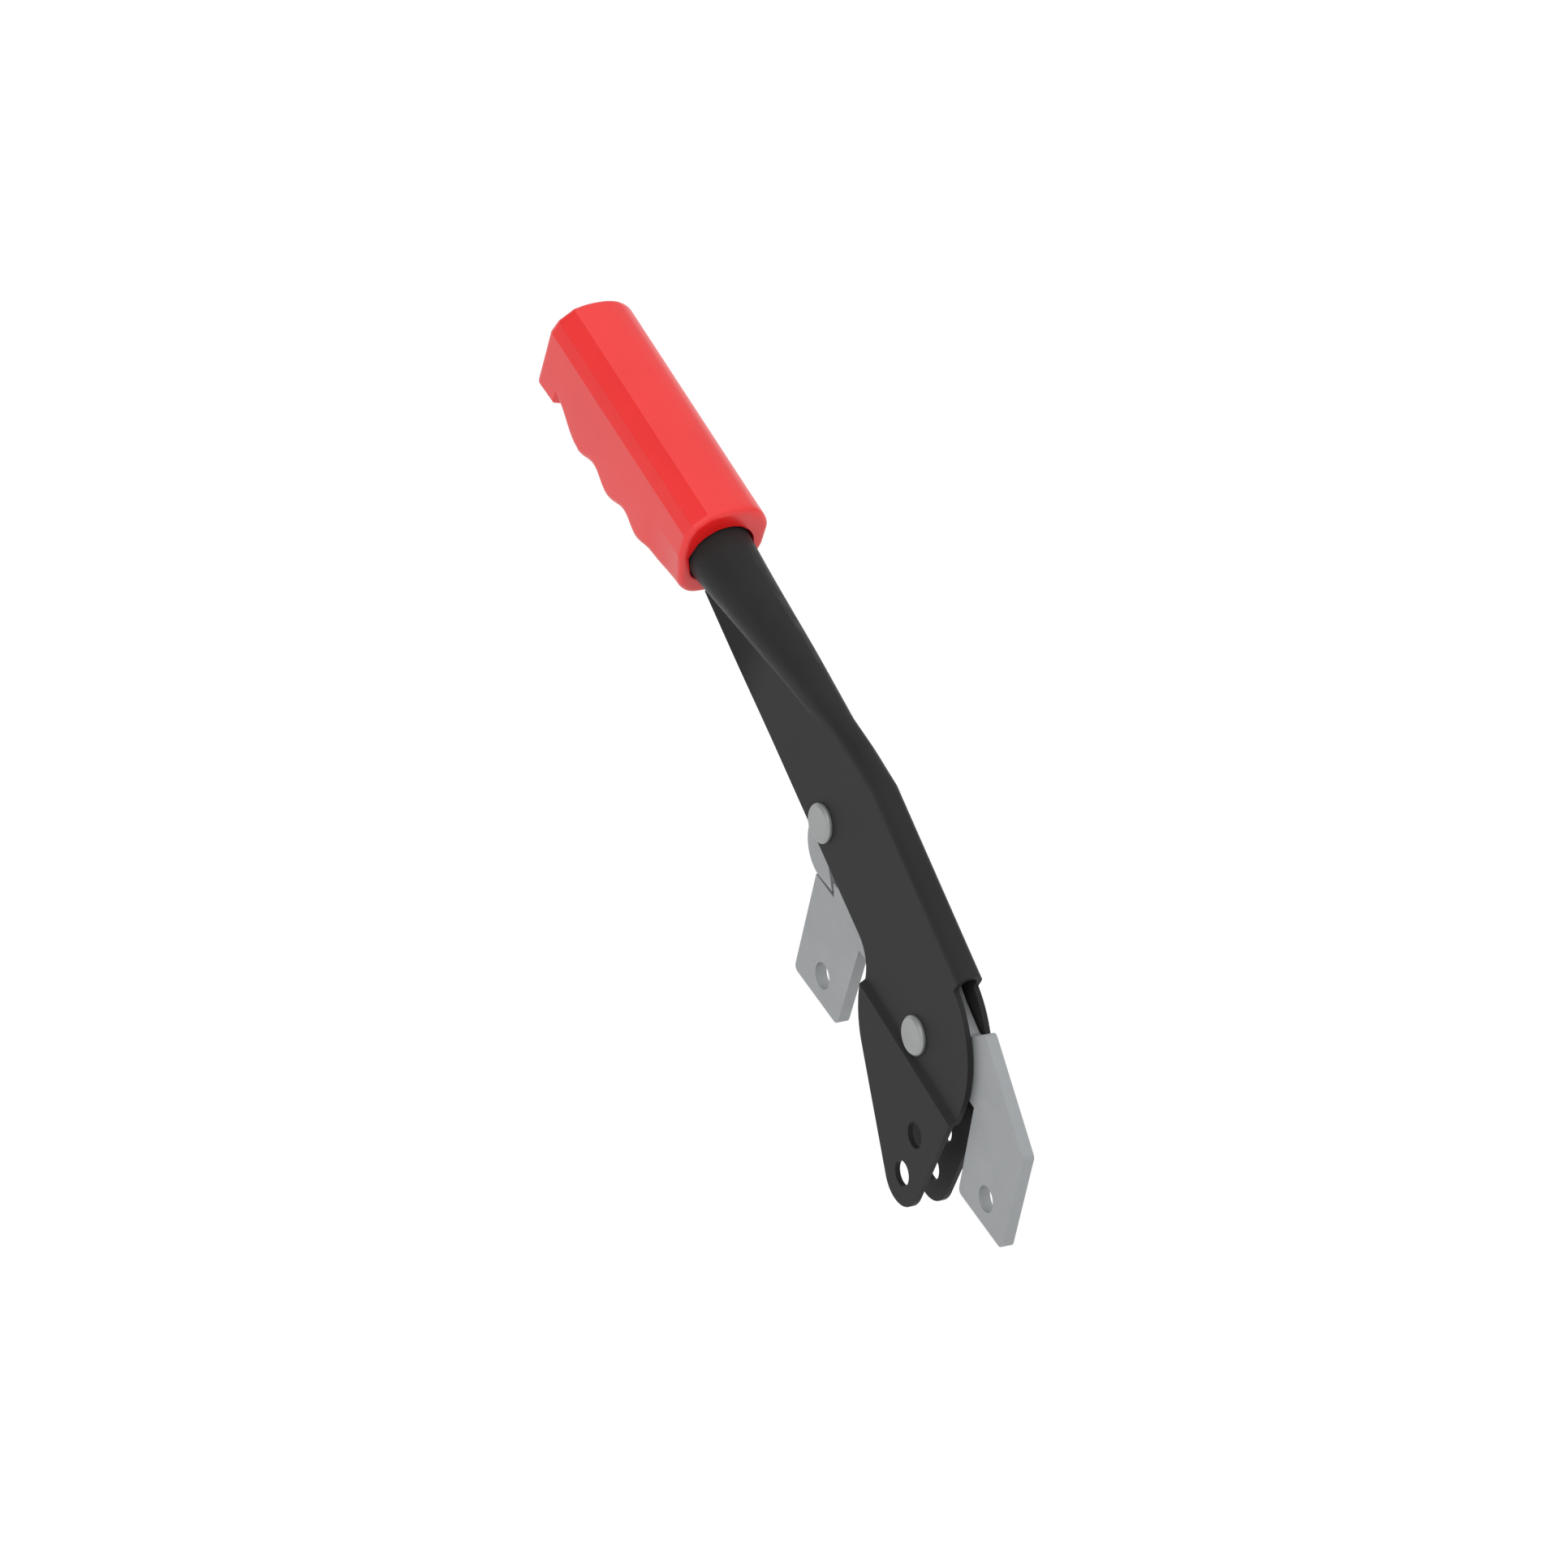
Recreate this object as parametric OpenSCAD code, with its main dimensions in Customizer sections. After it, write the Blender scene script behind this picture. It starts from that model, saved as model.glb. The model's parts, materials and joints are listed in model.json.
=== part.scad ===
// Ratchet hand-brake lever in its released position.
// Frame: +X away from the grip, +Z up from the mounting feet, Y across.
// Origin: midway between the two mounting holes, on the plate's mid-plane.

/* [Ratchet plate] */
// Distance between the two mounting holes
foot_spacing = 120; // [118:0.5:122]
// Diameter of each mounting hole
foot_hole_d = 9.5; // [8:0.1:11]
// Height of the mounting holes above the feet's lower edge
foot_hole_rise = 9.9; // [9:0.1:11]
// Thickness of the ratchet plate and of the pawl
plate_t = 4.5; // [4:0.1:5]
// Height of the lever's pivot above the mounting holes
pivot_rise = 26.2; // [25.5:0.1:27]
// Pivot's place to the right of the midpoint of the holes
pivot_shift = 2.6; // [2:0.1:3]

/* [Teeth] */
// Angle from one notch to the next, degrees
click = 4; // [3.6:0.1:4]
// Number of clicks from released to fully on
clicks = 6; // [4:1:7]
// Radius at the tips of the teeth
tooth_tip_r = 70; // [69.5:0.1:70.2]
// Depth of a notch
tooth_depth = 2.9; // [2.4:0.1:3.1]
// Direction of the released notch from the pivot, degrees
first_notch = 175.5; // [175.4:0.1:175.8]

/* [Lever] */
// Thickness of the folded sheet
sheet_t = 2; // [1.8:0.1:2]
// Clear gap between the lever's walls
channel_gap = 5.8; // [5.7:0.1:6]
// Slope of the lever near its pivot, degrees
lever_slope = 19.5; // [19:0.1:20]
// Height of the spine's centre line above the pivot, square to the slope
spine_rise = 38.1; // [37.8:0.1:38.6]
// Radius of the round cheeks about the pivot
cheek_r = 35.4; // [34:0.1:36]
// Radius round the end hole of the clevis
clevis_end_r = 11.7; // [10.5:0.1:12.5]
// Diameter of the clevis holes
clevis_hole_d = 9.3; // [8:0.1:9.8]
// Outside diameter of the grip tube
tube_d = 23; // [22:0.1:24]

/* [Grip] */
// Length of the grip
grip_len = 104.5; // [102:0.5:107]
// Width of the grip across its flat sides
grip_w = 33.4; // [32:0.1:35]
// Height of the grip's crown above the tube's centre line
grip_crown = 20.4; // [19:0.1:21]
// Depth of the grip below the tube's centre line
grip_drop = 16.5; // [15.5:0.1:18]
// Distance from one finger groove to the next
finger_pitch = 22.5; // [21:0.1:23.5]
// Depth of each finger groove
finger_depth = 3.4; // [2:0.1:3.8]

/* [Pivots] */
// Diameter of the lever's pivot rivet
pivot_d = 8; // [7:0.1:8.5]
// Diameter of the pawl's rivet
pawl_pin_d = 7; // [6:0.1:7.5]
// Radial clearance of the running fits
running_gap = 0.05; // [0.03:0.01:0.08]
// Diameter of the rivets' heads
rivet_head_d = 14.3; // [13:0.1:14.4]

/* [Hidden] */
$fn = 72;

steel = [0.62, 0.63, 0.64];
bright_steel = [0.72, 0.74, 0.74];
black_paint = [0.13, 0.13, 0.13];
red_vinyl = [0.93, 0.24, 0.24];
bronze = [0.62, 0.48, 0.28];

// Directions and places, all from the lever's pivot in the X-Z plane
function on(a, r) = [r * cos(a), r * sin(a)];
slope_dir = on(180 - lever_slope, 1);
slope_up = on(90 - lever_slope, 1);
pawl_pin = [-80.2, 28.5];
end_hole = [14.4, -49.6];
near_hole = [16.1, -31.1];
base_z = -pivot_rise - foot_hole_rise;

wall_y = channel_gap / 2;
lever_y = wall_y + sheet_t;
ear_y = lever_y + 0.05;
ear_out_y = ear_y + sheet_t;
plate_y = plate_t / 2;
eps = 0.01;

// The lever's pieces are placed from the pivot
module at_pivot() {
    translate([pivot_shift, 0, pivot_rise]) children();
}

// Extrudes an X-Z outline across the part from y0 to y1
module across(y0, y1) {
    translate([0, y1, 0]) rotate([90, 0, 0]) linear_extrude(y1 - y0) children();
}

// A cylinder along Y, centred on place c of the X-Z plane
module pin(c, r, y0, y1) {
    translate([c[0], y1, c[1]]) rotate([90, 0, 0]) cylinder(r = r, h = y1 - y0);
}

// Two discs joined by their outer tangents, as a flat outline
module belt(c1, r1, c2, r2) {
    d = c2 - c1;
    a = atan2(d[1], d[0]);
    b = acos((r1 - r2) / norm(d));
    translate(c1) circle(r1);
    translate(c2) circle(r2);
    polygon([c1 + on(a + b, r1), c2 + on(a + b, r2), c2 + on(a - b, r2), c1 + on(a - b, r1)]);
}

// ---- Ratchet plate -------------------------------------------------------

hub_r = 15;
arch_z = -1;
foot_w = 16;
tooth_root_r = tooth_tip_r - tooth_depth;
// The locking flank leans back by this much, degrees
flank_lean = 0.2;
sector_end = 138;
foot_l = -foot_spacing / 2 - pivot_shift;
foot_r = foot_spacing / 2 - pivot_shift;
shelf_z = tooth_root_r * sin(first_notch);

// Notch bottoms and tips from the last spare notch back to the released one
function notch(k) = first_notch - click * k;
toothed_edge = [
    for (k = [clicks + 1:-1:0])
        each k > 0
            ? [on(notch(k), tooth_root_r), on(notch(k) + flank_lean, tooth_tip_r)]
            : [on(notch(0), tooth_root_r)]
];
arc_end = notch(clicks + 1) - click + flank_lean;
plain_arc = [for (i = [0:4]) on(sector_end + (arc_end - sector_end) * i / 4, tooth_tip_r)];

// Replaces the inner corners of an open run of points with arcs of radius r
function unit(v) = v / norm(v);
function arc_corner(p, a, b, r) =
    let (half = acos(a * b) / 2, c = p + unit(a + b) * r / sin(half),
         from = p + a * r / tan(half) - c, side = a[0] * b[1] - a[1] * b[0] > 0 ? -1 : 1,
         start = atan2(from[1], from[0]))
    [for (k = [0:4]) c + on(start + side * (180 - 2 * half) * k / 4, r)];
function eased(pts, r) = [
    for (i = [0:len(pts) - 1])
        each i == 0 || i == len(pts) - 1
            ? [pts[i]]
            : arc_corner(pts[i], unit(pts[i - 1] - pts[i]), unit(pts[i + 1] - pts[i]), r)
];

foot_corner_r = 2.2;
right_foot = [
    [38.4, arch_z], [foot_r - foot_w, base_z], [foot_r + 15.4, base_z],
    [foot_r + 14.9, 4.1], [34.2, 28.3], [26.1, 20.4], [14, 25], [-20, 44]
];
left_foot = [
    [foot_l - foot_w - 1.4, shelf_z], [foot_l - foot_w - 0.4, base_z], [foot_l + 14.8, base_z],
    [foot_l + 16.6, arch_z]
];

module quadrant_outline() {
    polygon(concat(eased(right_foot, foot_corner_r), plain_arc, toothed_edge,
                   eased(left_foot, foot_corner_r)));
    circle(hub_r);
}

module quadrant_plate() color(steel) at_pivot() {
    difference() {
        across(-plate_y, plate_y) quadrant_outline();
        pin([0, 0], bush_r, -lever_y, lever_y);
        for (x = [foot_l, foot_r]) pin([x, -pivot_rise], foot_hole_d / 2, -lever_y, lever_y);
    }
}

// ---- Bush, rivets and washers --------------------------------------------

bush_r = 6;
washer_t = 0.6;
head_h = 2;
head_bevel = 0.8;
tail_head_r = 6.2;
back_washer_t = 1;

module ring(c, r_out, r_in, y0, y1) {
    difference() {
        pin(c, r_out, y0, y1);
        pin(c, r_in, y0 - 1, y1 + 1);
    }
}

module pivot_bush() color(bronze) at_pivot() {
    ring([0, 0], bush_r, pivot_d / 2 + running_gap, -plate_y, plate_y);
}

module thin_washers(c, r_out, r_in) {
    for (y = [-wall_y + eps, wall_y - eps - washer_t]) ring(c, r_out, r_in, y, y + washer_t);
}

module pivot_washers() color(bright_steel) at_pivot() {
    thin_washers([0, 0], 9, pivot_d / 2 + 0.1);
}

module pawl_washers() color(bright_steel) at_pivot() {
    thin_washers(pawl_pin, 8, pawl_pin_d / 2 + 0.1);
}

// Backing washers under the formed heads on the far side
module rivet_washers() color(bright_steel) at_pivot() {
    ring([0, 0], 7.6, pivot_d / 2, lever_y, lever_y + back_washer_t);
    ring(pawl_pin, 7.6, pawl_pin_d / 2, lever_y, lever_y + back_washer_t);
}

// A flat bevelled head, a shank and a smaller formed head on the far side
module rivet(c, d) {
    far_y = lever_y + back_washer_t;
    pin(c, d / 2, -lever_y - eps, far_y + eps);
    translate([c[0], -lever_y, c[1]]) rotate([90, 0, 0]) {
        cylinder(r = rivet_head_d / 2, h = head_h - head_bevel);
        translate([0, 0, head_h - head_bevel])
            cylinder(r1 = rivet_head_d / 2, r2 = rivet_head_d / 2 - head_bevel, h = head_bevel);
    }
    translate([c[0], far_y, c[1]]) rotate([-90, 0, 0]) {
        cylinder(r = tail_head_r, h = head_bevel);
        translate([0, 0, head_bevel])
            cylinder(r1 = tail_head_r, r2 = tail_head_r - head_bevel, h = head_bevel);
    }
}

module pivot_rivet() color(bright_steel) at_pivot() rivet([0, 0], pivot_d);

module pawl_rivet() color(bright_steel) at_pivot() rivet(pawl_pin, pawl_pin_d);

// ---- Lever: folded channel, swelling into a tube, with a clevis below -----

spine_start = 3;
// Distance from the pivot to the bend, along the slope
bend_run = 73.6;
spine_bend = bend_run * slope_dir + spine_rise * slope_up;
swell_start = [-82.5, 61.6];
swell_end = [-181, 66];
swell_r0 = lever_y - 0.5;
swell_r1 = tube_d / 2 + 0.4;
upper_dir = (swell_start - spine_bend) / norm(swell_start - spine_bend);
upper_angle = atan2(upper_dir[1], upper_dir[0]);
neck_end_x = -176.5;
edge_slope = 18.9;
edge_point = [-78.8, 19.6];
// Where the joggle starts below the pivot, and its slope
joggle_drop = 7.3;
joggle_slope = -5.7;
joggle_len = 1.8;
// The clevis section starts this far inside the walls and above the joggle
lead_in = [0.4, 1.2];
clevis_reach = 80;
fillet_r = 14;
far = 400;

function edge_z(x) = edge_point[1] + (edge_point[0] - x) * tan(edge_slope);

// U section of the fold, standing on the Z axis, y0 half the width, top at the spine
module fold_section(y0) {
    translate([-y0, -100]) square([2 * y0, 100]);
    circle(y0);
}

// Runs the fold's section along a line through c at angle a in the X-Z plane
module run_fold(c, a, y0) {
    translate([c[0], 0, c[1]]) rotate([0, -a, 0]) rotate([90, 0, -90])
        translate([0, 0, -far / 2]) linear_extrude(far) fold_section(y0);
}

// Outline of the lever's walls, from the neck under the tube down to the clevis
module lever_outline() {
    start = spine_start * -slope_dir;
    polygon([
        start + 60 * slope_up, start, [-36, edge_z(-36)], [neck_end_x, edge_z(neck_end_x)],
        [neck_end_x, 100], [-60, 100]
    ]);
    belt([0, 0], cheek_r, end_hole, clevis_end_r);
    edge_fillet();
}

// Concave fillet between the lever's lower edge and the round cheek
module edge_fillet() {
    edge_up = on(90 - edge_slope, 1);
    edge_out = on(180 - edge_slope, 1);
    edge_n = edge_up * edge_point;
    cn = edge_n - fillet_r;
    ct = sqrt(pow(cheek_r + fillet_r, 2) - cn * cn);
    c = cn * edge_up + ct * edge_out;
    difference() {
        polygon([c + fillet_r * edge_up, [-20, edge_z(-20)], [-20, 0], c * cheek_r / norm(c)]);
        translate(c) circle(fillet_r);
    }
}

// Section of the clevis, half-width y at the top, stepping out smoothly below the joggle
module ear_section(y, depth) {
    step = ear_out_y - lever_y;
    half = concat([[y - lead_in[0], lead_in[1] - depth]], [for (t = [1 / 8:1 / 8:1])
        [y + step * (1 - cos(180 * t)) / 2, -depth - joggle_len * t]], [[y + step, -clevis_reach]]);
    polygon(concat(half, [for (i = [len(half) - 1:-1:0]) [-half[i][0], half[i][1]]]));
}

module run_ears(y, depth) {
    rotate([0, -joggle_slope, 0]) translate([0, 0, -joggle_drop])
        rotate([90, 0, -90]) translate([0, 0, -60]) linear_extrude(120) ear_section(y, depth);
}

// Tube and the swelling part of the fold, as one solid of revolution each
module tube_solid(less) {
    d = swell_end - swell_start;
    a = atan2(d[1], d[0]);
    translate([swell_start[0], 0, swell_start[1]]) rotate([0, 90 - a, 0])
        cylinder(r1 = swell_r0 - less, r2 = swell_r1 - less, h = norm(d));
}

// The fold about both straight runs of the spine: they cut each other off at the bend
module spine_fold(y0) {
    intersection() {
        run_fold(spine_bend, -lever_slope, y0);
        run_fold(spine_bend, upper_angle - 180, y0);
    }
}

module lever_outside() {
    intersection() {
        union() {
            spine_fold(lever_y);
            run_ears(lever_y, 0);
        }
        across(-20, 20) lever_outline();
    }
    tube_solid(0);
}

module lever_inside() {
    intersection() {
        spine_fold(wall_y);
        across(-20, 20) translate([neck_end_x, -far / 2]) square([far, far]);
    }
    tube_solid(sheet_t);
    run_ears(wall_y, 0.8);
}

// The straight tube inside the grip
tube_slope = 4.4;
grip_start = [-179.3, 65.95];
tube_len = 88;
// Where the sheet's pieces meet: along the tube, across the spine and below the joggle
tube_joint = 4;
spine_half = 2.3;
ear_joint = 2.1;

module along_tube() {
    translate([grip_start[0], 0, grip_start[1]]) rotate([0, -90 + tube_slope, 0]) children();
}

// The whole folded sheet, up to where the straight tube joins it inside the grip
module lever_sheet() {
    difference() {
        union() {
            lever_outside();
            along_tube() cylinder(d = tube_d, h = tube_joint);
        }
        lever_inside();
        along_tube() translate([0, 0, 0.2]) cylinder(r = tube_d / 2 - sheet_t, h = tube_joint + 2);
        pin([0, 0], pivot_d / 2, -20, 20);
        pin(pawl_pin, pawl_pin_d / 2, -20, 20);
        for (c = [end_hole, near_hole]) pin(c, clevis_hole_d / 2, -20, 20);
    }
}

// The sheet is one folding, cut into simple pieces that meet: spine, cheeks, ears and tube.
// This keeps what lies from y0 to y1 across the part.
module slab(y0, y1) {
    intersection() {
        children();
        translate([-far / 2, y0, -far / 2]) cube([far, y1 - y0, far]);
    }
}

// Everything below the joggle
module below_joggle() {
    rotate([0, -joggle_slope, 0]) translate([-far / 2, -far / 2, -far - joggle_drop - ear_joint])
        cube(far);
}

module lever_spine() color(black_paint) at_pivot() slab(-spine_half, spine_half) lever_sheet();

module cheek(y0, y1) {
    difference() {
        slab(y0, y1) lever_sheet();
        below_joggle();
    }
}

module near_cheek() color(black_paint) at_pivot() cheek(-far / 2, -spine_half);

module far_cheek() color(black_paint) at_pivot() cheek(spine_half, far / 2);

module ear(y0, y1) {
    intersection() {
        slab(y0, y1) lever_sheet();
        below_joggle();
    }
}

module near_ear() color(black_paint) at_pivot() ear(-far / 2, -spine_half);

module far_ear() color(black_paint) at_pivot() ear(spine_half, far / 2);

module grip_tube() color(black_paint) at_pivot() along_tube() {
    difference() {
        translate([0, 0, tube_joint]) cylinder(d = tube_d, h = tube_len - tube_joint);
        cylinder(r = tube_d / 2 - sheet_t, h = tube_len + 2);
    }
}

// ---- Pawl and its spring -------------------------------------------------

tab_c = [-78.3, 18.2];
tab_r = 12.3;
tip = [-68.9, 6.5];
// Gap between the teeth and the pawl beside its tip
pawl_stand_off = 5;
seat_x = -91;
seat_z = 38;
nib_r = 0.9;
nib_h = 3;
coil_r = 1.9;
wire_r = 0.4;
spring_top = 62.3 + 1.1;

module pawl_outline() {
    difference() {
        belt(pawl_pin, 10, tab_c, tab_r);
        circle(tooth_tip_r + pawl_stand_off);
    }
    polygon([tip, [-73.6, 12.6], tab_c, tab_c - [0, tab_r]]);
    polygon([[-78, seat_z], [seat_x - 3.6, seat_z], [seat_x - 3.6, seat_z - 4], [-87, 20]]);
}

module pawl() color(steel) at_pivot() {
    difference() {
        across(-plate_y, plate_y) pawl_outline();
        pin(pawl_pin, pawl_pin_d / 2 + running_gap, -lever_y, lever_y);
    }
    translate([seat_x, 0, seat_z - 1]) cylinder(r = nib_r, h = nib_h + 1);
}

// Stud on the inside of the spine that locates the spring's upper end
module spring_stud() color(bright_steel) at_pivot() {
    translate([seat_x, 0, spring_top]) {
        cylinder(r = 2.3, h = 0.5);
        translate([0, 0, -nib_h]) cylinder(r = nib_r, h = nib_h + 0.5 + 0.9);
    }
}

// Compression spring: a wire swept along a helix, with closed ends
turns = 9;
steps = 14;
sides = 8;
spring_h = spring_top - seat_z;

function coil_z(t) = wire_r + (spring_h - 2 * wire_r) * (t < 0.1 ? t * 0.4 : t > 0.9
    ? 1 - (1 - t) * 0.4 : 0.04 + (t - 0.1) * 0.92 / 0.8);

module pawl_spring() color(bright_steel) at_pivot() {
    n = turns * steps;
    points = [for (i = [0:n], k = [0:sides - 1])
        let (a = 360 * i / steps, b = 360 * k / sides, r = coil_r + wire_r * cos(b))
        [r * cos(a), r * sin(a), coil_z(i / n) + wire_r * sin(b)]];
    walls = [for (i = [0:n - 1], k = [0:sides - 1])
        let (k2 = (k + 1) % sides)
        [i * sides + k, i * sides + k2, (i + 1) * sides + k2, (i + 1) * sides + k]];
    first = [for (k = [sides - 1:-1:0]) k];
    last = [for (k = [0:sides - 1]) n * sides + k];
    translate([seat_x, 0, seat_z]) polyhedron(points, concat(walls, [first, last]));
}

// ---- Grip ----------------------------------------------------------------

side_top = 10.5;
side_low = -8;
crown_half = 8.6;
shoulder = 13.6;
pommel_len = 12.8;
groove_r = 13;

// Section of the grip seen along the tube: x across, y up
module grip_section() {
    w = grip_w / 2;
    half = [[0, grip_crown], [crown_half, grip_crown - 1.2], [shoulder, grip_crown - 4.8],
            [w, side_top], [w, side_low], [w - 2.2, side_low - 4.4], [w - 6.6, -grip_drop]];
    polygon(concat(half, [for (i = [len(half) - 1:-1:1]) [-half[i][0], half[i][1]]]));
}

module grip() color(red_vinyl) at_pivot() along_tube() {
    difference() {
        linear_extrude(grip_len) rotate(-90) grip_section();
        translate([0, 0, -1]) cylinder(d = tube_d, h = tube_len + 3);
        translate([0, 0, -1]) cylinder(r = swell_r1 + 0.3, h = 3.2);
        for (i = [0:3])
            translate([-grip_drop - groove_r + finger_depth, 0,
                       grip_len - pommel_len - finger_pitch * (i + 0.5)])
                rotate([90, 0, 0]) cylinder(r = groove_r, h = 60, center = true);
    }
}

quadrant_plate();
pivot_bush();
lever_spine();
near_cheek();
far_cheek();
near_ear();
far_ear();
grip_tube();
pivot_rivet();
pawl_rivet();
pivot_washers();
pawl_washers();
rivet_washers();
pawl();
spring_stud();
pawl_spring();
grip();
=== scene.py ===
import json
import math

import bmesh
import bpy
from mathutils import Matrix, Vector
from mathutils.bvhtree import BVHTree


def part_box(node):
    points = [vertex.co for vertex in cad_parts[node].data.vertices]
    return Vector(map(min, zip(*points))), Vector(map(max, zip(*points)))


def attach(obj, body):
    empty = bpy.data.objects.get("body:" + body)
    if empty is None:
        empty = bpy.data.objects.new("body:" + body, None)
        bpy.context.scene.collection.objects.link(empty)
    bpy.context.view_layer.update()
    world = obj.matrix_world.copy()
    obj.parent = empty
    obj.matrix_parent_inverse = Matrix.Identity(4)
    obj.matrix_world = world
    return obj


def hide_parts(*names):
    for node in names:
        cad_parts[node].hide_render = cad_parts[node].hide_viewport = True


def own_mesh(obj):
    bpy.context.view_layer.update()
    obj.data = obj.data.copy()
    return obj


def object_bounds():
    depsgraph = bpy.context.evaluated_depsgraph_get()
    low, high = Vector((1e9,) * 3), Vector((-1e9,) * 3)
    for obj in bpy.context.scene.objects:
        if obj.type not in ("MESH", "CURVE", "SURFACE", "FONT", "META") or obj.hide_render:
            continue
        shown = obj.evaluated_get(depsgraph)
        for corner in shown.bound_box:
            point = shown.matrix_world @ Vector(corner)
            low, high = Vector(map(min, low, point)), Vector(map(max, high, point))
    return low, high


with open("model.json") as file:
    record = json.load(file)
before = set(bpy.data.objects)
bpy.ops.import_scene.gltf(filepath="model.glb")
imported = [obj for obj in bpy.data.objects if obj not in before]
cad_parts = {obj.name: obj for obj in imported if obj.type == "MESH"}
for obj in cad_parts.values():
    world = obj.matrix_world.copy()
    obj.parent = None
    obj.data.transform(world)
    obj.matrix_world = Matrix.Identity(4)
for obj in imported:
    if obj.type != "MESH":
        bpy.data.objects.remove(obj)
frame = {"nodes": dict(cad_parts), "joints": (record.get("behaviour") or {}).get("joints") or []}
cad_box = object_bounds()

MM = 0.001
MIX_A, MIX_B, MIX_RESULT = 6, 7, 2  # the colour sockets of a Mix node
joints = {j["name"]: j for j in frame["joints"]}
PIVOT = Vector(joints["lever_pivot"]["pos_m"])
PAWL_PIN = Vector(joints["pawl_pivot"]["pos_m"])


# ---- Camera, floor and light ------------------------------------------------

def add_camera():
    """A long lens from near the grip, rolled so that the lever stands up in the frame."""
    right = Vector((0.462, 0.866, 0.190)).normalized()
    back = Vector((0.624, -0.470, 0.624))
    back = (back - right * back.dot(right)).normalized()
    up = back.cross(right)
    target = PIVOT + Vector((-106.6, -4.8, 24.0)) * MM
    distance, frame_width = 24.0, 0.5338
    data = bpy.data.cameras.new("camera")
    data.sensor_width = 36
    data.lens = data.sensor_width * distance / frame_width
    data.clip_start, data.clip_end = 2, 100
    camera = bpy.data.objects.new("camera", data)
    bpy.context.scene.collection.objects.link(camera)
    axes = Matrix((right, up, back)).transposed().to_4x4()
    camera.matrix_world = Matrix.Translation(target + back * distance) @ axes
    bpy.context.scene.camera = camera


def add_floor():
    """A pale floor that the camera and the gloss see, but that throws no light up at the part."""
    bpy.ops.mesh.primitive_plane_add(size=16, location=(0, 0, cad_box[0].z - 0.16))
    floor = bpy.context.object
    floor.name = "floor"
    floor.visible_diffuse = False
    mat, shader, tree = new_material("floor_white")
    noise = texture_noise(tree, scale=1.5, detail=2)
    mix = colour_mix(tree, noise, (0.93, 0.93, 0.93), (0.97, 0.97, 0.97))
    tree.links.new(mix, shader.inputs["Base Color"])
    shader.inputs["Roughness"].default_value = 0.9
    shader.inputs["Specular IOR Level"].default_value = 0.1
    shader.inputs["Emission Color"].default_value = (1, 1, 1, 1)
    shader.inputs["Emission Strength"].default_value = 0.16
    floor.data.materials.append(mat)


def add_area(name, place, size, power, target):
    data = bpy.data.lights.new(name, "AREA")
    data.energy = power
    data.size = size
    lamp = bpy.data.objects.new(name, data)
    bpy.context.scene.collection.objects.link(lamp)
    lamp.location = place
    lamp.rotation_mode = "QUATERNION"
    lamp.rotation_quaternion = (Vector(target) - Vector(place)).to_track_quat("-Z", "Y")


def add_light():
    """A white studio, brighter above and on the near side, with a dark flag and a faint lamp."""
    level, slope = 0.72, (0.05, -0.15, 0.38)
    world = bpy.data.worlds.new("studio")
    world.use_nodes = True
    tree = world.node_tree
    coords = tree.nodes.new("ShaderNodeTexCoord")
    dot = tree.nodes.new("ShaderNodeVectorMath")
    dot.operation = "DOT_PRODUCT"
    dot.inputs[1].default_value = slope
    total = tree.nodes.new("ShaderNodeMath")
    total.operation = "ADD"
    total.inputs[1].default_value = level
    tree.links.new(coords.outputs["Generated"], dot.inputs[0])
    tree.links.new(dot.outputs["Value"], total.inputs[0])
    toward_flag = tree.nodes.new("ShaderNodeVectorMath")
    toward_flag.operation = "DOT_PRODUCT"
    toward_flag.inputs[1].default_value = Vector((-0.62, -0.62, 0.47)).normalized()
    tree.links.new(coords.outputs["Generated"], toward_flag.inputs[0])
    in_flag = between(tree, toward_flag.outputs["Value"], 0.74, 0.97)
    flag = combine(tree, "MULTIPLY", in_flag, -0.50)
    background = tree.nodes["Background"]
    background.inputs["Color"].default_value = (1, 1, 1, 1)
    strength = combine(tree, "ADD", total.outputs["Value"], flag)
    tree.links.new(strength, background.inputs["Strength"])
    bpy.context.scene.world = world
    centre = (cad_box[0] + cad_box[1]) / 2
    add_area("key", (1.2, -1.6, 2.4), 2.0, 6, centre)
    bpy.context.scene.view_settings.view_transform = "Standard"


# ---- Materials --------------------------------------------------------------

NECK_SLOPE = 0.045


def new_material(name):
    mat = bpy.data.materials.new(name)
    mat.use_nodes = True
    tree = mat.node_tree
    return mat, tree.nodes["Principled BSDF"], tree


def object_place(tree, stretch=(1, 1, 1)):
    coords = tree.nodes.new("ShaderNodeTexCoord")
    mapping = tree.nodes.new("ShaderNodeMapping")
    mapping.inputs["Scale"].default_value = stretch
    tree.links.new(coords.outputs["Object"], mapping.inputs["Vector"])
    return mapping.outputs["Vector"]


def texture_noise(tree, scale, detail, stretch=(1, 1, 1)):
    noise = tree.nodes.new("ShaderNodeTexNoise")
    noise.inputs["Scale"].default_value = scale
    noise.inputs["Detail"].default_value = detail
    tree.links.new(object_place(tree, stretch), noise.inputs["Vector"])
    return noise.outputs["Fac"]


def colour_mix(tree, factor, dark, light):
    ramp = tree.nodes.new("ShaderNodeValToRGB")
    ramp.color_ramp.elements[0].position = 0.3
    ramp.color_ramp.elements[1].position = 0.7
    ramp.color_ramp.elements[0].color = (*dark, 1)
    ramp.color_ramp.elements[1].color = (*light, 1)
    tree.links.new(factor, ramp.inputs["Fac"])
    return ramp.outputs["Color"]


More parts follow.
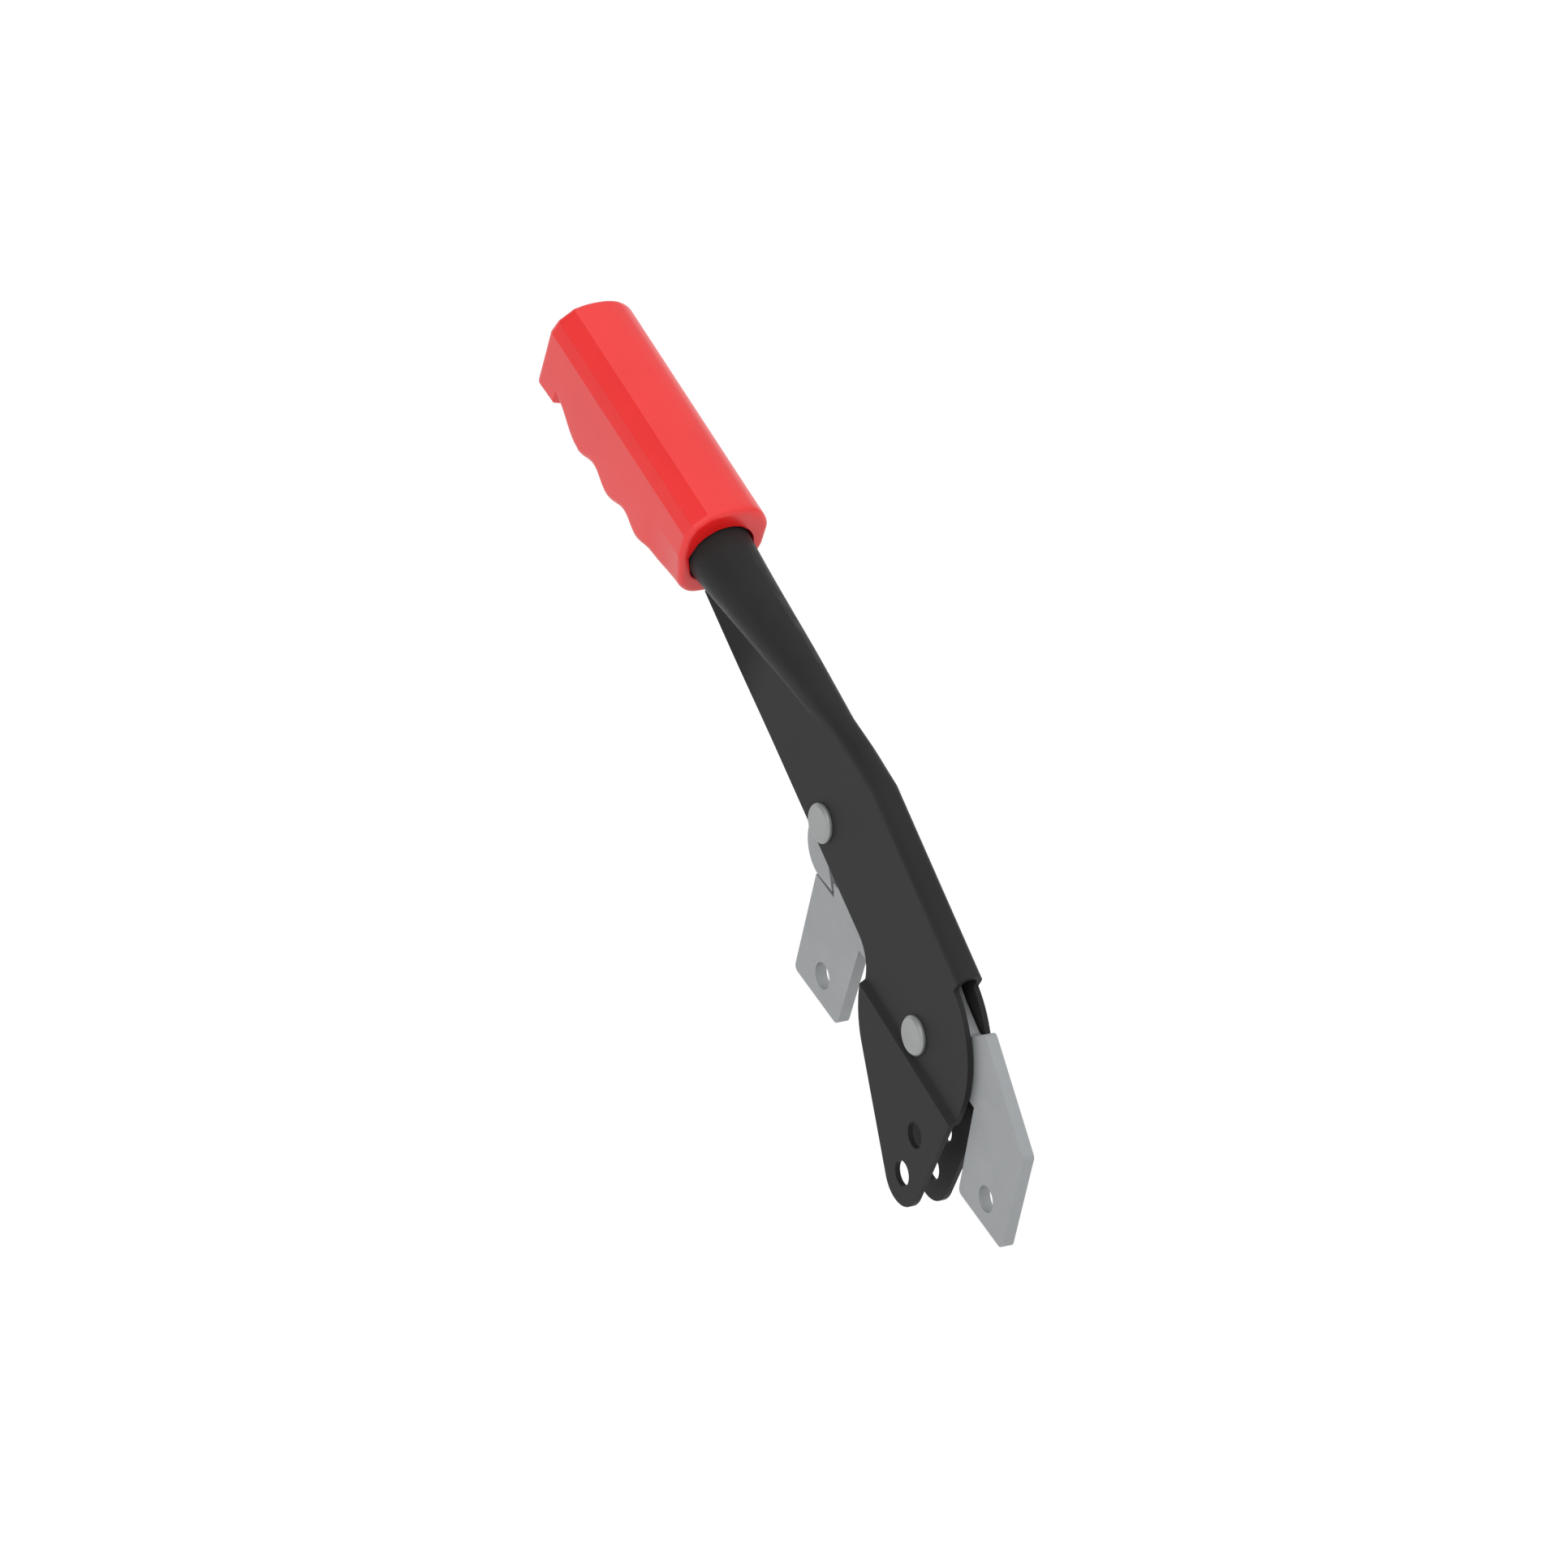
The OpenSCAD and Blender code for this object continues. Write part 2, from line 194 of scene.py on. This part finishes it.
def value_range(tree, factor, low, high):
    span = tree.nodes.new("ShaderNodeMapRange")
    span.inputs["From Min"].default_value = 0.3
    span.inputs["From Max"].default_value = 0.7
    span.inputs["To Min"].default_value = low
    span.inputs["To Max"].default_value = high
    tree.links.new(factor, span.inputs["Value"])
    return span.outputs["Result"]


def add_bump(tree, shader, height, distance, strength):
    bump = tree.nodes.new("ShaderNodeBump")
    bump.inputs["Distance"].default_value = distance
    bump.inputs["Strength"].default_value = strength
    tree.links.new(height, bump.inputs["Height"])
    tree.links.new(bump.outputs["Normal"], shader.inputs["Normal"])


def metal(name, dark, light, rough, metallic):
    """Plated or bare steel: cloudy colour, fine drawn lines and a satin gloss."""
    mat, shader, tree = new_material(name)
    cloud = texture_noise(tree, scale=60, detail=5)
    lines = texture_noise(tree, scale=900, detail=2, stretch=(0.06, 1, 1))
    tree.links.new(colour_mix(tree, cloud, dark, light), shader.inputs["Base Color"])
    tree.links.new(value_range(tree, lines, rough - 0.04, rough + 0.05), shader.inputs["Roughness"])
    shader.inputs["Metallic"].default_value = metallic
    add_bump(tree, shader, lines, 0.01 * MM, 0.35)
    return mat


def between(tree, value, low, high):
    """0 where value is low, 1 where it is high, and smooth between."""
    span = tree.nodes.new("ShaderNodeMapRange")
    span.interpolation_type = "SMOOTHSTEP"
    span.inputs["From Min"].default_value = low
    span.inputs["From Max"].default_value = high
    tree.links.new(value, span.inputs["Value"])
    return span.outputs["Result"]


def combine(tree, operation, *values):
    node = tree.nodes.new("ShaderNodeMath")
    node.operation = operation
    for socket, value in zip(node.inputs, values):
        if isinstance(value, (int, float)):
            socket.default_value = value
        else:
            tree.links.new(value, socket)
    return node.outputs["Value"]


def lever_paint():
    """Satin black paint with fine orange peel, and painted shade: the wall in the hollow under the
    neck is darkened to near black where the tube's shadow falls.
    """
    mat, shader, tree = new_material("lever_black")
    patch = texture_noise(tree, scale=35, detail=4)
    peel = texture_noise(tree, scale=1400, detail=2)
    colour = colour_mix(tree, patch, (0.0275, 0.0275, 0.0275), (0.0315, 0.0315, 0.0315))
    axes = tree.nodes.new("ShaderNodeSeparateXYZ")
    tree.links.new(object_place(tree), axes.inputs["Vector"])
    # Painted shade: these masks pick the wall just below the tube's overhang near the grip, where
    # the tube shadows it.
    under_neck = between(tree, axes.outputs["X"], PIVOT.x - 128 * MM, PIVOT.x - 150 * MM)
    on_wall = between(tree, combine(tree, "ABSOLUTE", axes.outputs["Y"]), 5.8 * MM, 5.2 * MM)
    level = combine(tree, "MULTIPLY", axes.outputs["X"], NECK_SLOPE)
    pivot_level = PIVOT.z + NECK_SLOPE * PIVOT.x
    below_tube = between(tree, combine(tree, "ADD", axes.outputs["Z"], level),
                         pivot_level + 57.9 * MM, pivot_level + 54.9 * MM)
    shade = tree.nodes.new("ShaderNodeMix")
    shade.data_type = "RGBA"
    painted_shade = combine(tree, "MULTIPLY", combine(tree, "MULTIPLY", under_neck, on_wall), below_tube)
    tree.links.new(painted_shade, shade.inputs["Factor"])
    tree.links.new(colour, shade.inputs[MIX_A])
    # The near-black colour of the painted shade under the neck.
    shade.inputs[MIX_B].default_value = (0.006, 0.006, 0.006, 1)
    tree.links.new(shade.outputs[MIX_RESULT], shader.inputs["Base Color"])
    tree.links.new(value_range(tree, patch, 0.40, 0.48), shader.inputs["Roughness"])
    shader.inputs["Specular IOR Level"].default_value = 0.08
    add_bump(tree, shader, peel, 0.02 * MM, 0.25)
    return mat


def grip_vinyl():
    """Moulded red vinyl: soft gloss over a very fine grain."""
    mat, shader, tree = new_material("grip_red")
    patch = texture_noise(tree, scale=40, detail=3)
    grain = texture_noise(tree, scale=2200, detail=3)
    colour = colour_mix(tree, patch, (0.92, 0.008, 0.008), (0.97, 0.012, 0.012))
    tree.links.new(colour, shader.inputs["Base Color"])
    tree.links.new(value_range(tree, grain, 0.30, 0.38), shader.inputs["Roughness"])
    shader.inputs["Specular IOR Level"].default_value = 0.8
    add_bump(tree, shader, grain, 0.03 * MM, 0.3)
    return mat


# ---- Mesh helpers -----------------------------------------------------------

def make_piece(name, verts, faces, mat, body, replaced, smooth_angle=32):
    """Makes a closed piece, rides it on a body and stands it in for CAD nodes."""
    mesh = bpy.data.meshes.new(name)
    mesh.from_pydata(verts, [], faces)
    bm = bmesh.new()
    bm.from_mesh(mesh)
    bmesh.ops.remove_doubles(bm, verts=bm.verts, dist=1e-7)
    bmesh.ops.recalc_face_normals(bm, faces=bm.faces)
    for edge in bm.edges:
        edge.smooth = (len(edge.link_faces) == 2
                       and edge.calc_face_angle() < math.radians(smooth_angle))
    for face in bm.faces:
        face.smooth = True
    bm.to_mesh(mesh)
    bm.free()
    mesh.materials.append(mat)
    piece = bpy.data.objects.new(name, mesh)
    bpy.context.scene.collection.objects.link(piece)
    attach(piece, body)
    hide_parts(*replaced)
    return piece


def loft(rings):
    """Points and faces of a closed skin through rings of equally many points."""
    count = len(rings[0])
    verts = [p for ring in rings for p in ring]
    faces = []
    for i in range(len(rings) - 1):
        for k in range(count):
            k2 = (k + 1) % count
            faces.append((i * count + k, i * count + k2,
                          (i + 1) * count + k2, (i + 1) * count + k))
    faces.append(tuple(range(count))[::-1])
    faces.append(tuple((len(rings) - 1) * count + k for k in range(count)))
    return verts, faces


def lathe(centre, profile):
    """A solid of revolution about the Y line through centre. The points are (radius, y) in mm."""
    sides, tip_r = 96, 0.02
    turns = [2 * math.pi * k / sides for k in range(sides)]
    rings = []
    for radius, y in profile:
        r = max(radius, tip_r) * MM
        rings.append([Vector((centre.x + r * math.cos(a), y * MM, centre.z + r * math.sin(a)))
                      for a in turns])
    return loft(rings)


def round_edges(piece, width, limit="ANGLE"):
    """Rounds a piece's sharp edges with modifiers, on top of its own mesh."""
    weld = piece.modifiers.new("weld", "WELD")
    weld.merge_threshold = 2e-6
    bevel = piece.modifiers.new("bevel", "BEVEL")
    bevel.width = width
    bevel.segments = 3
    bevel.limit_method = limit
    bevel.angle_limit = math.radians(SHARP_DEG)
    normals = piece.modifiers.new("normals", "WEIGHTED_NORMAL")
    normals.weight = 100
    normals.keep_sharp = True


SHARP_DEG = 28
TOUCH = 2e-5
NECK_CUTS = range(-175, -45, 5)  # mm from the pivot, so that the neck can swell smoothly
LEVER_SHEET = ["lever_spine", "near_cheek", "far_cheek", "near_ear", "far_ear", "grip_tube"]


def joint_faces(pieces):
    """Faces where two of the pieces touch flat against each other."""
    trees = [BVHTree.FromPolygons([v.co for v in p.data.vertices],
                                  [f.vertices for f in p.data.polygons])
             for p in pieces]
    touching = set()
    for i, piece in enumerate(pieces):
        for face in piece.data.polygons:
            for j, tree in enumerate(trees):
                if j == i:
                    continue
                spot, normal, _, distance = tree.find_nearest(face.center, TOUCH)
                if spot is not None and normal.dot(face.normal) < -0.99:
                    touching.add((i, face.index))
    return touching


def neck_swell(place):
    """How far the neck stands out from the plain fold, at a place in mm from the pivot."""
    swell, sag = 1.3, 0.6
    top = smoothstep(-168, -112, place.x) * (1 - smoothstep(-76, -53, place.x))
    low = 1 - smoothstep(-155, -115, place.x)
    height = place.z - 61.6 - NECK_SLOPE * (-82.5 - place.x)
    return swell * top * smoothstep(-3, 2, height) - sag * low * (1 - smoothstep(-9, -4, height))


def make_lever_skin(mat):
    """One seamless folded sheet: the CAD pieces' skins without their joints, edges rounded."""
    pieces = [frame["nodes"][node] for node in LEVER_SHEET]
    joints_at = joint_faces(pieces)
    verts, faces = [], []
    for i, piece in enumerate(pieces):
        start = len(verts)
        verts += [v.co.copy() for v in piece.data.vertices]
        faces += [tuple(start + v for v in face.vertices)
                  for face in piece.data.polygons if (i, face.index) not in joints_at]
    mesh = bpy.data.meshes.new("folded_lever")
    mesh.from_pydata(verts, [], faces)
    bm = bmesh.new()
    bm.from_mesh(mesh)
    bmesh.ops.remove_doubles(bm, verts=bm.verts, dist=TOUCH)
    for x in NECK_CUTS:
        bmesh.ops.bisect_plane(bm, geom=bm.verts[:] + bm.edges[:] + bm.faces[:], dist=1e-6,
                               plane_co=PIVOT + Vector((x, 0, 0)) * MM, plane_no=(1, 0, 0))
    for vert in bm.verts:
        vert.co.z += neck_swell((vert.co - PIVOT) / MM) * MM
    bmesh.ops.dissolve_limit(bm, angle_limit=math.radians(0.05), verts=bm.verts, edges=bm.edges)
    weight = bm.edges.layers.float.new("bevel_weight_edge")
    for edge in bm.edges:
        sharp = len(edge.link_faces) == 2 and edge.calc_face_angle() > math.radians(SHARP_DEG)
        edge[weight] = 1.0 if sharp and edge.is_convex else 0.0
        edge.smooth = not sharp or edge.is_convex
    for face in bm.faces:
        face.smooth = True
    bm.to_mesh(mesh)
    bm.free()
    mesh.materials.append(mat)
    skin = bpy.data.objects.new("folded_lever", mesh)
    bpy.context.scene.collection.objects.link(skin)
    round_edges(skin, 0.35 * MM, "WEIGHT")
    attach(skin, "lever")
    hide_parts(*LEVER_SHEET)


def paint(node, mat):
    """Gives a CAD node its material in every slot it has."""
    for slot in frame["nodes"][node].material_slots:
        slot.material = mat


# ---- Grip -------------------------------------------------------------------

# Lengths are in mm. t runs along the tube from the grip's face, y across it and h above it.
TUBE_SLOPE = math.radians(4.4)
GRIP_FACE = PIVOT + Vector((-179.3, 0, 65.95)) * MM
GRIP_LEN = 104.9
HALF_W = 16.4
MOUTH_R = 12.6
BORE_R = 11.6
BUMP_PITCH = 22.5
LAST_BUMP = 72.0
LIP = 91.8
CREASE_END = 26.0
STATION_STEP = 0.9


def grip_point(t, y, h):
    """The place of (t, y, h) in the frame. The far end leans."""
    t += 0.06 * h * smoothstep(LIP, GRIP_LEN, t)
    along = Vector((-math.cos(TUBE_SLOPE), 0, math.sin(TUBE_SLOPE)))
    up = Vector((math.sin(TUBE_SLOPE), 0, math.cos(TUBE_SLOPE)))
    return GRIP_FACE + (along * t + Vector((0, 1, 0)) * y + up * h) * MM


def smoothstep(low, high, x):
    k = min(max((x - low) / (high - low), 0), 1)
    return k * k * (3 - 2 * k)


def side_drop(t):
    """How far the flat side reaches below the tube: finger bumps, then a lip and a pommel."""
    if t > LIP:
        return 11.9 + 0.05 * (t - LIP)
    if t > LAST_BUMP:
        return 12.0 + 3.4 * math.cos(math.pi * (t - LAST_BUMP) / (LIP - LAST_BUMP))
    phase = 2 * math.pi * (t - LAST_BUMP) / BUMP_PITCH
    wave = 14.1 - 0.9 * (1 - smoothstep(24, 46, t)) + 1.6 * math.cos(phase)
    front = 1 - smoothstep(12, 30, t)
    return wave * (1 - front) + 13.4 * front


def grip_corners(t):
    """Corners of the section at t, once round, as (y, h, rounding)."""
    crease = 1 - smoothstep(0, CREASE_END, t)
    drop = side_drop(t)
    low_y = HALF_W - 3.6 * crease
    corner_r = 1.4 if t > LIP else 2.8
    far_w = HALF_W - 0.3 + 0.35 * (1 - smoothstep(2, 16, t))
    keel = drop + 1.7 * crease
    near = [(-HALF_W, 1.2, 0.8), (-HALF_W, 10.6, 0.0), (-14.3, 15.2, 0.3), (-9.9, 18.7, 0.0),
            (-9.3, 19.35, 0.0), (-4.6, 20.5, 3.0)]
    far = [(4.6, 20.4, 3.0), (9.2, 18.9, 4.0), (13.6, 15.4, 3.0), (far_w, 10.4, 2.0),
           (far_w, 1.2, 0.8)]
    low = [(low_y, -drop, corner_r), (8.0, -keel - 2.6, 3.0), (0.0, -keel - 3.0, 3.0)]
    return near + [(0.0, 20.7, 3.0)] + far + low + [(-y, h, r) for y, h, r in low[1::-1]]


def rounded_ring(corners):
    """Rounds each corner of a closed outline with a short curve."""
    steps, most = 6, 0.45
    ring = []
    n = len(corners)
    for i, (y, h, radius) in enumerate(corners):
        p = Vector((y, h))
        before = Vector(corners[i - 1][:2]) - p
        after = Vector(corners[(i + 1) % n][:2]) - p
        a = p + before.normalized() * min(radius, before.length * most)
        b = p + after.normalized() * min(radius, after.length * most)
        for k in range(steps + 1):
            u = k / steps
            ring.append(a * (1 - u) ** 2 + p * 2 * u * (1 - u) + b * u ** 2)
    return ring


def grip_section(t, inset=0.0):
    """The rounded section at t, drawn in towards the tube's centre line by about inset mm."""
    scale = 1 - inset / HALF_W
    return [p * scale for p in rounded_ring(grip_corners(t))]


def ring_about(section, radius):
    """A circle with one point on the ray to each point of a section."""
    return [p.normalized() * radius for p in section]


def grip_stations():
    """Where the sections go: (t, inset), with rounded rims at both ends and a sharp lip."""
    face_round, end_round, arc_steps = 2.0, 2.8, 6
    arc = [math.pi / 2 * k / arc_steps for k in range(arc_steps + 1)]
    rim = [(face_round * (1 - math.sin(a)), face_round * (1 - math.cos(a))) for a in arc[::-1]]
    middle = []
    t = face_round + STATION_STEP
    while t < GRIP_LEN - end_round - 0.4:
        if abs(t - LIP) > 0.5:
            middle.append((t, 0.0))
        t += STATION_STEP
    middle = sorted(middle + [(LIP - 0.25, 0.0), (LIP + 0.05, 0.0), (LIP + 0.4, 0.0)])
    end = [(GRIP_LEN - end_round * (1 - math.sin(a)), end_round * (1 - math.cos(a))) for a in arc]
    return rim, middle, end


def make_grip(mat):
    rim, middle, end = grip_stations()
    face = grip_section(0, rim[0][1])
    depth, mouth_depth = GRIP_LEN - 15, 5.0
    rings = [[grip_point(depth, *p) for p in ring_about(face, 0.05)],
             [grip_point(depth, *p) for p in ring_about(face, BORE_R)],
             [grip_point(mouth_depth + 0.2, *p) for p in ring_about(face, BORE_R)],
             [grip_point(mouth_depth, *p) for p in ring_about(face, MOUTH_R)],
             [grip_point(0.5, *p) for p in ring_about(face, MOUTH_R)],
             [grip_point(0.1, *p) for p in ring_about(face, MOUTH_R + 0.2)],
             [grip_point(0.0, *p) for p in ring_about(face, MOUTH_R + 0.6)]]
    for t, inset in rim + middle + end:
        rings.append([grip_point(t, *p) for p in grip_section(t, inset)])
    last = grip_section(GRIP_LEN, end[-1][1])
    for share in (0.8, 0.5, 0.2, 0.004):
        rings.append([grip_point(GRIP_LEN, *(p * share)) for p in last])
    verts, faces = loft(rings)
    make_piece("moulded_grip", verts, faces, mat, "lever", ["grip"], smooth_angle=24)


# ---- Rivets and spring ------------------------------------------------------

def make_rivet(name, centre, shank_r, mat):
    """A flat bevelled factory head in front and a domed formed head behind."""
    front_head = [(0, -6.86), (3.0, -6.87), (5.6, -6.90), (6.15, -6.88), (6.35, -6.80),
                  (6.95, -6.18), (7.1, -6.0), (7.15, -5.8), (7.15, -5.05), (7.05, -4.92)]
    shank = [(shank_r, -4.90), (shank_r, 5.90)]
    back_head = [(6.1, 5.92), (6.2, 6.05), (6.2, 6.35), (6.05, 6.65), (5.4, 6.98), (4.2, 7.25),
                 (2.6, 7.42), (1.5, 7.44), (1.2, 7.36), (0, 7.34)]
    verts, faces = lathe(centre, front_head + shank + back_head)
    make_piece(name + "_turned", verts, faces, mat, "lever", [name])


SPRING_TURNS = 9
SPRING_LOW_R = 2.45
SPRING_TOP_R = 1.9
WIRE_R = 0.4


def make_spring(mat):
    """A round wire on a slightly conical helix whose first and last turns lie nearly closed."""
    low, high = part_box("pawl_spring")
    centre = (low + high) / 2
    length = (high.z - low.z) / MM - 2 * WIRE_R
    steps, sides = 36, 14
    closed, pitch = 0.1, 0.4
    rings = []
    total = SPRING_TURNS * steps
    for i in range(total + 1):
        share = i / total
        if share < closed:
            rise = share * pitch
        elif share > 1 - closed:
            rise = 1 - (1 - share) * pitch
        else:
            rise = closed * pitch + (share - closed) * (1 - 2 * closed * pitch) / (1 - 2 * closed)
        angle = 2 * math.pi * i / steps
        outward = Vector((math.cos(angle), math.sin(angle), 0))
        coil_r = SPRING_LOW_R + (SPRING_TOP_R - SPRING_LOW_R) * rise
        level = low.z + (WIRE_R + length * rise) * MM
        heart = Vector((centre.x, centre.y, level)) + outward * coil_r * MM
        rings.append([
            heart + (outward * math.cos(b) + Vector((0, 0, 1)) * math.sin(b)) * WIRE_R * MM
            for b in (2 * math.pi * k / sides for k in range(sides))])
    verts, faces = loft(rings)
    spring = make_piece("coiled_spring", verts, faces, mat, "lever",
                        ["pawl_spring"], smooth_angle=60)
    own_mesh(spring)


add_camera()
add_floor()
add_light()

plate_steel = metal("plate_steel", (0.340, 0.355, 0.366), (0.372, 0.388, 0.398), 0.45, 0.25)
rivet_steel = metal("rivet_steel", (0.32, 0.333, 0.333), (0.36, 0.373, 0.373), 0.32, 0.45)
spring_steel = metal("spring_steel", (0.20, 0.20, 0.21), (0.28, 0.28, 0.29), 0.35, 0.8)
bronze = metal("bush_bronze", (0.40, 0.24, 0.09), (0.48, 0.30, 0.12), 0.4, 0.8)
black = lever_paint()
red = grip_vinyl()

for name in ("quadrant_plate", "pawl"):
    paint(name, plate_steel)
    round_edges(frame["nodes"][name], 0.4 * MM)
for name in ("pivot_washers", "pawl_washers", "rivet_washers", "spring_stud"):
    paint(name, rivet_steel)
paint("pivot_bush", bronze)
make_lever_skin(black)
make_grip(red)
make_rivet("pivot_rivet", PIVOT, 4.0, rivet_steel)
make_rivet("pawl_rivet", PAWL_PIN, 3.5, rivet_steel)
make_spring(spring_steel)
